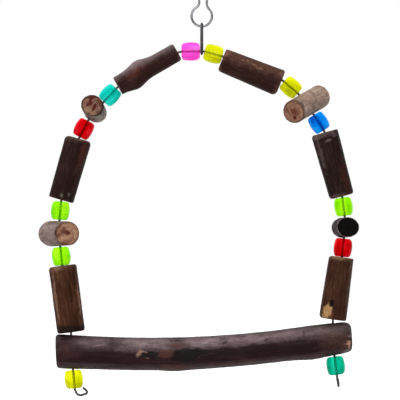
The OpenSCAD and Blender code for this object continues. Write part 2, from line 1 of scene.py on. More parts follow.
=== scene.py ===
"""A bird swing: an arch of wire threaded with branch pieces, cross logs and beads, which carries a perch."""

import json
import math

import bmesh
import bpy
import numpy as np
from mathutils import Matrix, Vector
from mathutils.bvhtree import BVHTree

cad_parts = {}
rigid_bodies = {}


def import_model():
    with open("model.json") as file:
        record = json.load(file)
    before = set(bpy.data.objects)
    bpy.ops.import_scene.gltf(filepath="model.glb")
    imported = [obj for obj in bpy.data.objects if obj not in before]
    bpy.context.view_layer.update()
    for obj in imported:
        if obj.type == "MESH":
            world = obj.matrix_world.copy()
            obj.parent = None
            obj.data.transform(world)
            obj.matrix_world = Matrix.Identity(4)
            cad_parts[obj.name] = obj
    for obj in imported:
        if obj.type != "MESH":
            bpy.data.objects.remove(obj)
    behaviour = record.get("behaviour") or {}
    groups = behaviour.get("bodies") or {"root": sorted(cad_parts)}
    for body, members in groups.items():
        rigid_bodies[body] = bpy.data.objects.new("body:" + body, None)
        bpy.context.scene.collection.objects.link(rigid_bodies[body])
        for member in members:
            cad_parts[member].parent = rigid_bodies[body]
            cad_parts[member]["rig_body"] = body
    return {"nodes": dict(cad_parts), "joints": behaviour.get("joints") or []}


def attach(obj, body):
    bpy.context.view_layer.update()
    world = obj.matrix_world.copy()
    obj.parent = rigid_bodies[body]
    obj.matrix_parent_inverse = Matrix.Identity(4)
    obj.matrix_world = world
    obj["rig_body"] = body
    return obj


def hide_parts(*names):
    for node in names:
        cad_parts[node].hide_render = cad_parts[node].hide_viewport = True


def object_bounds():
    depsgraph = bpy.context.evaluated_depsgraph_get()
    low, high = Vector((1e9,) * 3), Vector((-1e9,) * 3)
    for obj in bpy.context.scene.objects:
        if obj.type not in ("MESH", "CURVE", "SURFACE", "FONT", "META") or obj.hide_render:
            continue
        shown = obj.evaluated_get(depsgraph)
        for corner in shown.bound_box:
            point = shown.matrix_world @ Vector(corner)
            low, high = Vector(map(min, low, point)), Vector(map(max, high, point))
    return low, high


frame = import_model()
cad_low, cad_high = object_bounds()

MM = 0.001
NODES = frame["nodes"]
SPINS = {j["child"]: j for j in frame["joints"] if j["name"].endswith("_spin")}

# Camera, floor and light

# The front view: how wide it is, how far away the camera stands and what it looks at, in metres.
VIEW_WIDTH = 0.2
VIEW_DISTANCE = 1.8
VIEW_CENTRE = (-0.00089, 0.0, -0.107025)
SENSOR_WIDTH = 36
WORLD_LIGHT = 0.3
FLOOR_HALF_WIDTH = 3.0
FLOOR_DROP = 0.045
# Each lamp's place, the point that it shines at, its width and height, and its power in watts.
LAMPS = {
    "overhead": ((-0.15, -0.2, 0.8), (0, 0, -0.1), (0.9, 0.7), 5.0),
    "front": ((-0.45, -1.5, 0.45), (0, 0, -0.11), (1.1, 0.9), 20.0),
    "back_right": ((0.8, 0.9, 0.35), (0, 0, -0.11), (0.6, 0.6), 2.5),
}


def in_scene(name, data):
    """A new object, put in the scene."""
    made = bpy.data.objects.new(name, data)
    bpy.context.scene.collection.objects.link(made)
    return made


def make_camera():
    data = bpy.data.cameras.new("photo_camera")
    data.sensor_width = SENSOR_WIDTH
    data.lens = SENSOR_WIDTH * VIEW_DISTANCE / VIEW_WIDTH
    data.clip_start, data.clip_end = 0.01, 50
    camera = in_scene("photo_camera", data)
    camera.location = (VIEW_CENTRE[0], VIEW_CENTRE[1] - VIEW_DISTANCE, VIEW_CENTRE[2])
    camera.rotation_euler = (math.radians(90), 0, 0)
    bpy.context.scene.camera = camera


def area_lamp(name, place, target, size, power):
    """A lamp that doesn't show through clear plastic, where it would leave white specks."""
    data = bpy.data.lights.new(name, "AREA")
    data.shape = "RECTANGLE"
    data.size, data.size_y = size
    data.energy = power
    lamp = in_scene(name, data)
    lamp.location = place
    lamp.visible_transmission = False
    lamp.rotation_euler = (Vector(target) - Vector(place)).to_track_quat("-Z", "Y").to_euler()


def seen_directly(tree):
    """1 for what the camera sees, also in gloss or through plastic, and 0 for the light on the object."""
    path = tree.nodes.new("ShaderNodeLightPath")
    value = path.outputs["Is Camera Ray"]
    for name in ("Is Glossy Ray", "Is Transmission Ray"):
        either = tree.nodes.new("ShaderNodeMath")
        either.operation = "MAXIMUM"
        tree.links.new(value, either.inputs[0])
        tree.links.new(path.outputs[name], either.inputs[1])
        value = either.outputs[0]
    return value


def make_world():
    world = bpy.data.worlds.new("studio")
    bpy.context.scene.world = world
    world.use_nodes = True
    tree = world.node_tree
    tree.nodes.clear()
    out = tree.nodes.new("ShaderNodeOutputWorld")
    mix = tree.nodes.new("ShaderNodeMixShader")
    tree.links.new(seen_directly(tree), mix.inputs[0])
    for number, strength in ((1, WORLD_LIGHT), (2, 1.0)):
        light = tree.nodes.new("ShaderNodeBackground")
        light.inputs["Color"].default_value = (1, 1, 1, 1)
        light.inputs["Strength"].default_value = strength
        tree.links.new(light.outputs[0], mix.inputs[number])
    tree.links.new(mix.outputs[0], out.inputs["Surface"])


# Noise and places


def noise3(points, seed):
    """Smooth noise from about -1 to 1 at each point, the same in every run."""
    rng = np.random.RandomState(seed)
    order = rng.permutation(256)
    slopes = rng.normal(size=(256, 3))
    slopes /= np.linalg.norm(slopes, axis=1)[:, None]
    cell = np.floor(points).astype(np.int64)
    part = points - cell
    ease = part * part * part * (part * (part * 6 - 15) + 10)
    total = np.zeros(points.shape[:-1])
    for corner in np.ndindex(2, 2, 2):
        at = (cell + corner) & 255
        pick = order[(order[(order[at[..., 0]] + at[..., 1]) & 255] + at[..., 2]) & 255]
        weight = np.prod(np.where(np.array(corner) == 1, ease, 1 - ease), axis=-1)
        total += weight * np.sum(slopes[pick] * (part - corner), axis=-1)
    return total * 1.6


def layered(points, seed, layers=4):
    """Layers of that noise, each finer and weaker than the last."""
    total, size, scale = 0, 1.0, 1.0
    for i in range(layers):
        total = total + size * noise3(points * scale, seed + i)
        size, scale = size * 0.5, scale * 2.03
    return total


def step(low, high, x):
    """A smooth step from 0 at low to 1 at high."""
    t = np.clip((x - low) / (high - low), 0, 1)
    return t * t * (3 - 2 * t)


def turn_from(start, angles):
    """The turn from one angle to each of the others, from -pi to pi."""
    return np.mod(angles - start + math.pi, 2 * math.pi) - math.pi


# The picture is 400 by 400 pixels, and shows 2 pixels to a millimetre.
PICTURE_SCALE = 2
PICTURE_X, PICTURE_Y = 201.78, -14.05


def photo(x, y):
    """A point that the front view shows, from its place in the picture, as [x, z] in mm."""
    return (x - PICTURE_X) / PICTURE_SCALE, (PICTURE_Y - y) / PICTURE_SCALE


def from_front(x, z):
    """The other way round: the place in the picture of a point given in mm."""
    return PICTURE_X + PICTURE_SCALE * x, PICTURE_Y - PICTURE_SCALE * z


class Place:
    """A piece's own frame: an origin, and three axes. Its coordinates are in millimetres."""

    def __init__(self, origin, along, side):
        self.o = np.array(origin, float)
        self.z = np.array(along, float) / np.linalg.norm(along)
        self.y = np.array(side, float) - self.z * np.dot(side, self.z)
        self.y /= np.linalg.norm(self.y)
        self.x = np.cross(self.y, self.z)
        self.axes = np.array([self.x, self.y, self.z])

    def out(self, local):
        return self.o + (np.asarray(local) * MM) @ self.axes

    def into(self, world):
        return ((np.asarray(world) - self.o) @ self.axes.T) / MM


def on_arch(body):
    """The place of a piece on the arch: z runs up along the wire and y away from the front."""
    spin = SPINS[body]
    return Place(spin["pos_m"], spin["axis"], (0, 1, 0))


def node_mesh(node):
    mesh = NODES[node].data
    points = np.array([v.co for v in mesh.vertices], float)
    faces = [tuple(p.vertices) for p in mesh.polygons]
    return points, faces


class Solid:
    """A CAD solid in a piece's own frame, to read its skin from."""

    def __init__(self, node, place):
        points, faces = node_mesh(node)
        self.place = place
        self.points = place.into(points)
        self.tree = BVHTree.FromPolygons([tuple(p) for p in self.points], faces)
        self.low, self.high = self.points[:, 2].min(), self.points[:, 2].max()
        self.reach = np.abs(self.points[:, :2]).max() * 2

    def hit(self, start, ray):
        found = self.tree.ray_cast(Vector(start), Vector(ray))[0]
        return None if found is None else np.array(found)

    def middle(self, t):
        """The middle of the solid's cross-section at t."""
        m = np.zeros(2)
        for _ in range(2):
            for axis in (0, 1):
                ends = []
                for sign in (1, -1):
                    start = np.array([m[0], m[1], t])
                    start[axis] += sign * self.reach
                    ray = np.zeros(3)
                    ray[axis] = -sign
                    found = self.hit(start, ray)
                    ends.append(found[axis] if found is not None else sign * self.reach / 4)
                m[axis] = sum(ends) / 2
        return m

    def radii(self, t, middle, turns):
        made = []
        for a in turns:
            ray = np.array([math.cos(a), math.sin(a), 0])
            start = np.array([middle[0], middle[1], t]) + ray * self.reach
            found = self.hit(start, -ray)
            made.append(np.nan if found is None else np.dot(found[:2] - middle, ray[:2]))
        made = np.array(made)
        if np.isnan(made).any():
            made[np.isnan(made)] = np.nanmean(made)
        return made


def smooth_round(rows, sigma_steps):
    """Each row blurred round the piece."""
    n = rows.shape[1]
    k = np.arange(n)
    k = np.minimum(k, n - k)
    kernel = np.exp(-0.5 * (k / sigma_steps) ** 2)
    kernel /= kernel.sum()
    return np.real(np.fft.ifft(np.fft.fft(rows, axis=1) * np.fft.fft(kernel)[None, :], axis=1))


def grid_object(name, points, closed, attributes):
    """A mesh of rings, each joined to the next, the last to the first if closed."""
    rings, n = points.shape[:2]
    index = np.arange(rings * n).reshape(rings, n)
    nxt = np.roll(index, -1, axis=0) if closed else index[1:]
    cur = index if closed else index[:-1]
    faces = np.stack([cur, np.roll(cur, -1, axis=1), np.roll(nxt, -1, axis=1), nxt], axis=-1)
    mesh = bpy.data.meshes.new(name)
    mesh.from_pydata(points.reshape(-1, 3).tolist(), [], faces.reshape(-1, 4).tolist())
    mesh.polygons.foreach_set("use_smooth", np.ones(len(mesh.polygons), bool))
    for key, values in attributes.items():
        vector = values.ndim == 3
        made = mesh.attributes.new(key, "FLOAT_VECTOR" if vector else "FLOAT", "POINT")
        made.data.foreach_set("vector" if vector else "value", values.reshape(-1).astype(np.float32))
    mesh.update()
    return in_scene(name, mesh)


# Materials


def linear(colour):
    """A colour of 0 to 255 as it shows, as Blender's nodes take it."""
    parts = [c / 255 for c in colour]
    return tuple(c / 12.92 if c <= 0.04045 else ((c + 0.055) / 1.055) ** 2.4 for c in parts) + (1.0,)


# Depths of the fine relief, in metres.
STEEL_RELIEF = 0.00003
WOOD_RELIEF = 0.00016
# The colour of holes, also used for painted shade where the tone is below zero.
PIT_AND_SHADE = (14, 10, 9)


class Shade:
    """A material's nodes, made in order."""

    def __init__(self, name):
        self.material = bpy.data.materials.new(name)
        self.material.use_nodes = True
        self.tree = self.material.node_tree
        self.shader = self.tree.nodes["Principled BSDF"]

    def feed(self, node, inputs):
        """Sets inputs of a node, each to a value or to another node's socket."""
        for key, value in inputs.items():
            if isinstance(value, bpy.types.NodeSocket):
                self.tree.links.new(value, node.inputs[key])
            else:
                node.inputs[key].default_value = value

    def node(self, kind, inputs, **settings):
        made = self.tree.nodes.new(kind)
        for key, value in settings.items():
            setattr(made, key, value)
        self.feed(made, inputs)
        return made

    def attribute(self, name, output="Fac"):
        return self.node("ShaderNodeAttribute", {}, attribute_name=name).outputs[output]

    def noise(self, vector, stretch, shift=(0, 0, 0), detail=4.0, rough=0.55, distortion=0.0):
        """Noise of a vector that is stretched along each axis first."""
        place = self.node("ShaderNodeMapping", {"Vector": vector, "Scale": stretch, "Location": shift})
        inputs = {"Vector": place.outputs[0], "Scale": 1.0, "Detail": detail, "Roughness": rough}
        return self.node("ShaderNodeTexNoise", inputs | {"Distortion": distortion}).outputs[0]

    def math(self, operation, a, b=0.0):
        return self.node("ShaderNodeMath", {0: a, 1: b}, operation=operation).outputs[0]

    def total(self, *parts):
        """The sum of some sockets, each times its number."""
        whole = self.math("MULTIPLY", *parts[0])
        for part in parts[1:]:
            whole = self.math("ADD", whole, self.math("MULTIPLY", *part))
        return whole

    def ramp(self, factor, stops):
        """A run of colours. Each stop is a place and a colour of 0 to 255."""
        made = self.node("ShaderNodeValToRGB", {0: factor})
        band = made.color_ramp
        while len(band.elements) < len(stops):
            band.elements.new(0.5)
        for element, (place, colour) in zip(band.elements, stops):
            element.position = place
            element.color = linear(colour)
        return made.outputs[0]

    def range(self, value, low, high, to_low, to_high):
        limits = {"From Min": low, "From Max": high, "To Min": to_low, "To Max": to_high}
        return self.node("ShaderNodeMapRange", {"Value": value} | limits).outputs[0]

    def mix(self, factor, a, b):
        """From a to b, each a colour of 0 to 255 or a socket."""
        a, b = (linear(colour) if isinstance(colour, tuple) else colour for colour in (a, b))
        return self.node("ShaderNodeMix", {0: factor, 6: a, 7: b}, data_type="RGBA").outputs[2]

    def bump(self, height, strength, distance):
        inputs = {"Height": height, "Strength": strength, "Distance": distance}
        self.set(Normal=self.node("ShaderNodeBump", inputs).outputs[0])

    def set(self, **values):
        self.feed(self.shader, {key.replace("_", " "): value for key, value in values.items()})


def make_floor():
    """White where it is seen, with the object's shadow on it."""
    size, level = FLOOR_HALF_WIDTH, cad_low.z - FLOOR_DROP
    mesh = bpy.data.meshes.new("floor")
    corners = [(-size, -size, level), (size, -size, level), (size, size, level), (-size, size, level)]
    mesh.from_pydata(corners, [], [(0, 1, 2, 3)])
    shade = Shade("floor_white")
    shade.set(Base_Color=(0.8, 0.8, 0.8, 1), Roughness=0.9, Specular_IOR_Level=0.0)
    glow = shade.node("ShaderNodeEmission", {"Strength": seen_directly(shade.tree)})
    both = shade.node("ShaderNodeAddShader", {0: shade.shader.outputs[0], 1: glow.outputs[0]})
    shade.feed(shade.tree.nodes["Material Output"], {"Surface": both.outputs[0]})
    mesh.materials.append(shade.material)
    in_scene("floor", mesh)


def steel(name, dark, light, low_rough, high_rough):
    """Drawn wire, a little darker and rougher in patches."""
    shade = Shade(name)
    place = shade.node("ShaderNodeTexCoord", {}).outputs["Object"]
    patches = shade.noise(place, (420, 420, 260), detail=3)
    specks = shade.noise(place, (2600, 2600, 900), detail=2)
    both = shade.total((patches, 0.7), (specks, 0.3))
    between = tuple((a + b) // 2 for a, b in zip(dark, light))
    shade.set(
        Base_Color=shade.ramp(both, [(0.34, dark), (0.52, between), (0.66, light)]),
        Roughness=shade.range(specks, 0.3, 0.7, low_rough, high_rough),
        Metallic=1.0,
    )
    shade.bump(specks, 0.25, STEEL_RELIEF)
    return shade.material


def plastic(name, colours):
    """Clear coloured plastic, with deeper and paler streaks along the bead; the palest are painted
    highlights.
    """
    shade = Shade(name)
    grain = shade.attribute("grain", "Vector")
    streaks = shade.noise(grain, (0.3, 0.3, 0.08), detail=1.5, rough=0.4, distortion=0.3)
    shade.set(
        # The palest tone paints highlights into the colour.
        Base_Color=shade.ramp(streaks, list(zip((0.3, 0.46, 0.6, 0.74), colours))),
        Roughness=0.04,
        IOR=1.12,
        Specular_Tint=linear(colours[1]),  # untinted reflections leave white specks in a deep colour
        Transmission_Weight=0.76,
    )
    return shade.material


def bark(
    name, tones, dust_and_sheen, bare=((150, 112, 78), (190, 152, 108)), stain=((74, 34, 28), (118, 62, 50)),
    cut=((70, 45, 34), (128, 90, 66), (165, 126, 96)), cut_core=(88, 44, 36),
    streak=(1.0, 1.0, 0.13), rough=(0.45, 0.7), shine=0.04, relief=0.5,
):
    """Bark with worn and bared places, and sawn ends. The grain is in millimetres in the piece's own frame.

    tones are the bark's colours and cut the sawn ends', from dark to pale. The other colours are what the
    mesh's masks paint on. streak is the grain's scale, and rough runs from the palest bark to the darkest.
    """
    shade = Shade(name)
    grain = shade.attribute("grain", "Vector")
    streaks = shade.noise(grain, streak, detail=5, rough=0.6, distortion=0.4)
    blotch = shade.noise(grain, (0.16, 0.16, 0.1), (7, 3, 1), detail=3)
    fine = shade.noise(grain, (4.2, 4.2, 1.4), detail=3, rough=0.65)
    body = shade.total((streaks, 0.52), (blotch, 0.3), (fine, 0.18))
    skin = shade.ramp(body, list(zip((0.32, 0.5, 0.68), tones)))
    # Sawn ends: rings about the pith, saw marks and a darker rim, the same at every depth.
    flat = shade.node("ShaderNodeVectorMath", {0: grain, 1: (1, 1, 0)}, operation="MULTIPLY")
    length = shade.node("ShaderNodeVectorMath", {0: flat.outputs[0]}, operation="LENGTH")
    wobble = shade.noise(grain, (0.28, 0.28, 0), (3, 8, 0), detail=3)
    radius = shade.total((length.outputs["Value"], 1.0), (wobble, 3.4))
    waves = shade.math("SINE", shade.math("MULTIPLY", radius, 6.4))
    rings = shade.range(waves, -1.0, 1.0, 0.0, 1.0)
    blot = shade.noise(grain, (0.55, 0.55, 0), (1, 2, 0), detail=4, rough=0.62)
    specks = shade.noise(grain, (3.4, 3.4, 0), detail=3, rough=0.7)
    cut_tone = shade.total((rings, 0.135), (blot, 0.75), (specks, 0.3))
    face = shade.ramp(cut_tone, [(0.36, cut[0]), (0.55, cut[1]), (0.8, cut[2])])
    face = shade.mix(shade.range(radius, 0.9, 4.6, 0.75, 0.0), face, cut_core)
    face = shade.mix(shade.attribute("rim"), face, cut[0])
    whole = shade.mix(shade.attribute("cap"), skin, face)
    # Tone is painted on the mesh: above zero it is dust and painted sheen, below zero darker wood and painted
    # shade.
    tone = shade.attribute("tone")
    broken = shade.math("MULTIPLY", tone, shade.range(fine, 0.3, 0.7, 0.75, 1.25))
    # The pale colour where the tone is above zero: dust, and painted sheen and highlights.
    pale_dust_and_sheen = shade.mix(streaks, dust_and_sheen, tuple(min(255, c + 26) for c in dust_and_sheen))
    whole = shade.mix(shade.range(broken, 0.0, 1.0, 0.0, 1.0), whole, pale_dust_and_sheen)
    # Below zero the tone darkens towards the pit colour: darker wood, and painted shade.
    whole = shade.mix(shade.range(tone, -1.0, 0.0, 0.85, 0.0), whole, PIT_AND_SHADE)
    # Reddish stains, bared wood and holes are painted there too.
    whole = shade.mix(shade.attribute("warm"), whole, shade.mix(fine, *stain))
    fibres = shade.noise(grain, (2.4, 2.4, 0.3), (2, 5, 9), detail=4, rough=0.6)
    wood = shade.ramp(fibres, [(0.3, bare[0]), (0.66, bare[1])])
    whole = shade.mix(shade.attribute("bare"), whole, wood)
    whole = shade.mix(shade.attribute("pit"), whole, PIT_AND_SHADE)
    open_wood = shade.math("MAXIMUM", shade.attribute("bare"), shade.attribute("cap"))
    roughness = shade.total((shade.range(body, 0.3, 0.7, rough[1], rough[0]), 1.0), (open_wood, 0.2))
    shade.set(Base_Color=whole, Roughness=roughness, Specular_IOR_Level=shine)
    height = shade.total((streaks, 0.6), (fine, 0.4))
    cut_height = shade.total((specks, 0.6), (rings, 0.4))
    heights = {0: shade.attribute("cap"), 2: height, 3: cut_height}
    blend = shade.node("ShaderNodeMix", heights, data_type="FLOAT")
    shade.bump(blend.outputs[0], relief, WOOD_RELIEF)
    return shade.material


# Wood

# Readings of the CAD skin along and round a piece, and how far they stay from the middle of a cross hole.
READINGS = 48
READINGS_ROUND = 72
HOLE_REACH = 2.6
# The furthest across a piece that a place of the picture is taken to lie, as a share of its radius.
EDGE_ON = 0.97
# What is painted on the bark.
PAINTS = ("bare", "pit", "tone", "warm")


class Grid:
    """The outer skin of a wooden piece: rings along it and points round it, and what is painted on them."""

    def __init__(self, solid, rings, around, trim=0.75, holes=(), short=0.0):
        """trim keeps the readings clear of the CAD's worn edges, and short takes the upper end back."""
        self.place = solid.place
        self.low, self.high = solid.low, solid.high - short
        self.t = np.linspace(self.low, self.high, rings)
        self.a = np.linspace(0, 2 * math.pi, around, endpoint=False)
        read = np.linspace(self.low + trim, self.high - trim, READINGS)
        read = np.array([t for t in read if all(abs(t - hole) > HOLE_REACH for hole in holes)])
        coarse = self.a[:: max(1, around // READINGS_ROUND)]
        middles = np.array([solid.middle(t) for t in read])
        rows = np.array([solid.radii(t, m, coarse) for t, m in zip(read, middles)])
        closed = np.append(coarse, 2 * math.pi)
        full = np.array([np.interp(self.a, closed, np.append(row, row[0])) for row in rows])
        full = smooth_round(full, around / 40)
        self.middle = np.stack([np.interp(self.t, read, middles[:, k]) for k in (0, 1)], axis=1)
        at = np.interp(self.t, read, np.arange(len(read)))
        i = np.minimum(at.astype(int), len(read) - 2)
        share = (at - i)[:, None]
        self.r = full[i] * (1 - share) + full[i + 1] * share
        self.masks = {key: np.zeros(self.r.shape) for key in PAINTS}

    def points(self):
        """The skin in the piece's own frame."""
        x = self.middle[:, :1] + self.r * np.cos(self.a)
        y = self.middle[:, 1:] + self.r * np.sin(self.a)
        return np.stack([x, y, np.broadcast_to(self.t[:, None], x.shape)], axis=-1)

    def in_picture(self):
        """Where the front view shows each point, as x and y."""
        world = self.place.out(self.points()) / MM
        return from_front(world[..., 0], world[..., 2])

    def locate(self, x, y):
        """The place along and round the piece of a point of its front side, from its place in the picture."""
        mm_x, mm_z = photo(x, y)
        local = self.place.into(np.array([mm_x, 0, mm_z]) * MM)
        t = float(np.clip(local[2], self.low, self.high))
        k = int(np.argmin(np.abs(self.t - t)))
        across = (local[0] - self.middle[k, 0]) / self.r[k].mean()
        return t, -math.acos(np.clip(across, -EDGE_ON, EDGE_ON))

    def patch(self, at, size, turn, ragged, seed, soft):
        """How far each point is inside an oval patch: 1 inside and 0 outside.

        size is its half lengths along and across, in mm.
        """
        t, a = at
        across = turn_from(a, self.a[None, :]) * self.r
        along = (self.t - t)[:, None] + 0 * across
        c, s = math.cos(math.radians(turn)), math.sin(math.radians(turn))
        u = (along * c + across * s) / size[0]
        v = (-along * s + across * c) / size[1]
        far = np.sqrt(u * u + v * v) + ragged * layered(self.points() * 0.55, seed, 3)
        return 1 - step(1 - soft, 1 + soft, far)

    def beyond(self, start, end, soft, ragged, seed):
        """How far each point is on the left of a line between two points of the picture."""
        x, y = self.in_picture()
        along = np.array(end, float) - start
        along /= np.linalg.norm(along)
        gone = (x - start[0]) * along[1] - (y - start[1]) * along[0]
        return step(-soft, soft, gone + ragged * layered(self.points() * 0.4, seed, 4))

    def paint(self, key, mask, amount=1.0, depth=0):
        self.r = self.r - mask * depth
        if key == "tone":
            self.masks[key] = np.clip(self.masks[key] + mask * amount, -1, 1)
        else:
            self.masks[key] = np.maximum(self.masks[key], mask * amount)

    def patches(self, rows):
        """Paints and sinks oval patches.

        Each is a place in the picture, half lengths in mm, a turn in degrees, a kind, a strength, a depth in
        mm, how ragged and how soft the edge is, and a seed.
        """
        for x, y, size, turn, key, amount, depth, ragged, soft, seed in rows:
            mask = self.patch(self.locate(x, y), size, turn, ragged, seed, soft)
            self.paint(key, mask, amount, depth)

    def roughen(self, seed, ridge, ring, grit=0.025, ridge_scale=0.75):
        """Long ridges, rings round the piece and fine grit, on a skin drawn in to make room for them."""
        p = self.points()
        ridges = layered(p * [ridge_scale, ridge_scale, 0.09], seed, 4)
        rings = layered(p * [0.2, 0.2, 1.3], seed + 20, 3)
        fine = layered(p * [2.6, 2.6, 1.1], seed + 40, 3)
        self.r = self.r - 0.04 + np.minimum(ridge * ridges, ridge * 0.6) + ring * rings + grit * fine


# The radius of a branch's bore, the mean hollow of a sawn face, and the rings in a face, in a worn rim and
# in the bore.
BORE = 1.2
DISH = 0.12
FACE_RINGS = 15
RIM_RINGS = 5
BORE_RINGS = 7
# The outer share of a sawn face that turns into its rim.
RIM_SHARE = 0.14
# A piece's lower and upper end, and the way from each into the wood.
ENDS = (0, -1)
INWARD = {0: 1, -1: -1}
# How far the grain of each piece is shifted from the last one's, so that no two are alike.
GRAIN_SHIFT = 37.0


class Surface:
    """A wooden piece's surface, ring by ring: its bore if drilled, and its skin between two sawn ends."""

    def __init__(self, grid, bevel, corners, worn, edge, seed, drilled):
        self.grid, self.bevel, self.worn, self.edge = grid, bevel, worn, edge
        self.seed, self.drilled = seed, drilled
        self.cos, self.sin = np.cos(grid.a), np.sin(grid.a)
        self.rings, self.masks = [], {key: [] for key in PAINTS + ("cap", "rim")}
        self.back = [self.worn_back(end, amount, corners) for end, amount in zip(ENDS, bevel)]

    def ring(self, middle, r, z):
        z = np.broadcast_to(z, self.cos.shape)
        return np.stack([middle[0] + r * self.cos, middle[1] + r * self.sin, z], axis=-1)

    def worn_back(self, end, amount, corners):
        """How far an end's rim is worn back all the way round. A corner is a place where it is rounder."""
        wear = 1 + 0.5 * layered(self.ring((0, 0), 3, end * 7.0) * 0.35, self.seed + 60 + end, 3)
        back = np.clip(amount * wear, amount * 0.4, amount * 1.7)
        for x, y, more, spread in corners:
            t, a = self.grid.locate(x, y)
            if abs(t - self.grid.t[end]) < 4:
                off = turn_from(a, self.grid.a) / math.radians(spread)
                back = back + more * np.exp(-(off**2))
        return back

    def add(self, middle, r, z, cap=0.0, rim=0.0, source=None, wear=0.0, dark=0.0):
        """One ring more. source is the row of the grid whose paint it takes, or one row for each point."""
        self.rings.append(self.ring(middle, r, z))
        each = np.arange(len(self.cos))
        for key in PAINTS:
            paint = np.zeros(len(each)) if source is None else self.grid.masks[key][source, each]
            if key == "tone":
                paint = np.where(paint < 0, paint, np.maximum(paint, wear))
                paint = np.minimum(paint, -dark) if dark else paint
            self.masks[key].append(paint)
        self.masks["cap"].append(np.full(len(each), float(cap)))
        self.masks["rim"].append(np.full(len(each), float(rim)))

    def add_bore(self):
        low, high = self.grid.t[0] + 0.02, self.grid.t[-1] - 0.02
        for z in np.linspace(high, low, BORE_RINGS + 2)[1:-1]:
            self.add((0, 0), BORE, z, cap=1, rim=1)

    def add_face(self, end):
        """A sawn face, hollowed a little, between the worn rim and the bore or the middle."""
        grid = self.grid
        reach = grid.r[end] - self.back[end]
        for share in np.linspace(0, 1, FACE_RINGS)[:: INWARD[end]]:
            middle = grid.middle[end] * (share if self.drilled else 1)
            r = BORE + (reach - BORE) * share if self.drilled else reach * max(share, 0.004)
            bumps = layered(self.ring(middle, r, end * 5.0) * 0.5, self.seed + 80 + end, 3)
            hollow = np.maximum(DISH * (0.5 + 0.8 * bumps) * (1 - share**4) + 0.01, 0)
            rim = max(0.0, (share - 1 + RIM_SHARE) / RIM_SHARE)
            z = grid.t[end] + INWARD[end] * hollow
            self.add(middle, r, z, cap=1.0, rim=rim * 0.8, dark=self.edge * rim)

    def add_rim(self, end):
        """The worn edge between a sawn face and the skin, with the paint of the skin beside it."""
        grid, back = self.grid, self.back[end]
        wear = self.worn * step(0.9, 1.4, back / self.bevel[end])
        rows = np.arange(len(grid.t))
        for turned in (np.arange(1, RIM_RINGS + 1) / RIM_RINGS)[:: INWARD[end]]:
            turn = math.pi / 2 * turned
            r = grid.r[end] - back * (1 - math.sin(turn))
            z = grid.t[end] + INWARD[end] * back * (1 - math.cos(turn))
            beside = np.rint(np.interp(z, grid.t, rows)).astype(int)
            dark = self.edge * (1 - turned**3)
            self.add(grid.middle[end], r, z, (1 - turned) * 0.5, turned, beside, wear, dark)

    def add_skin(self):
        grid = self.grid
        low, high = grid.t[0] + self.back[0].max() + 0.05, grid.t[-1] - self.back[-1].max() - 0.05
        for i, t in enumerate(grid.t):
            if low < t < high:
                self.add(grid.middle[i], grid.r[i], t, source=i)

    def close(self):
        """All the rings in order, and the masks that go with them."""
        if self.drilled:
            self.add_bore()
        self.add_face(0)
        self.add_rim(0)
        self.add_skin()
        self.add_rim(-1)
        self.add_face(-1)
        return np.array(self.rings), {key: np.array(rows) for key, rows in self.masks.items()}


def face_point(grid, x, y):
    """The point of the upper sawn face that the front view shows at a place in the picture."""
    mm_x, mm_z = photo(x, y)
    start = grid.place.into(np.array([mm_x, 0, mm_z]) * MM)
    ray = grid.place.into(np.array([mm_x, 1, mm_z]) * MM) - start
    return (start + ray * (grid.high - start[2]) / ray[2])[:2]


def mark_face(grid, local, masks, marks, seed):
    """Paints marks on the upper sawn face.

    Each is a place in the picture, half lengths in mm, a turn up from the right there, a kind and a strength.
    """
    for number, (x, y, size, turn, key, amount) in enumerate(marks):
        p, q = face_point(grid, x, y)
        turn = math.radians(turn)
        c, s = (grid.place.axes @ (math.cos(turn), 0, math.sin(turn)))[:2]
        u = ((local[..., 0] - p) * c + (local[..., 1] - q) * s) / size[0]
        v = ((local[..., 1] - q) * c - (local[..., 0] - p) * s) / size[1]
        far = np.hypot(u, v) + 0.3 * layered(local * 0.8, seed * 7 + number, 3)
        mask = (1 - step(0.7, 1.3, far)) * (local[..., 2] > grid.high - 1) * amount
        masks[key] = np.maximum(masks[key], mask)


def wooden(node, grid, material, bevel, seed, worn, corners=(), edge=0.0, marks=(), drilled=True):
    """A wooden piece on its grid, which stands for the CAD's.

    bevel is how far the lower and the upper rim are worn back, worn how dusty they are and edge how dark the
    sawn faces' rims are.
    """
    local, attributes = Surface(grid, bevel, corners, worn, edge, seed, drilled).close()
    mark_face(grid, local, attributes, marks, seed)
    grain = local.copy()
    for k in (0, 1):
        grain[..., k] -= np.interp(local[..., 2], grid.t, grid.middle[:, k])
    grain[..., 2] += seed * GRAIN_SHIFT
    attributes["grain"] = grain
    piece = grid_object(node + "_bark", grid.place.out(local), drilled, attributes)
    piece.data.materials.append(material)
    if not drilled:
        close_ends(piece)
    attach(piece, NODES[node]["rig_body"])
    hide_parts(node)
    return piece


def close_ends(piece):
    """Fills the tiny middle holes of the two sawn faces."""
    work = bmesh.new()
    work.from_mesh(piece.data)
    open_edges = [e for e in work.edges if e.is_boundary]
    bmesh.ops.holes_fill(work, edges=open_edges, sides=0)
    for f in work.faces:
        f.smooth = True
    work.to_mesh(piece.data)
    work.free()


DRILL_SIDES = 24


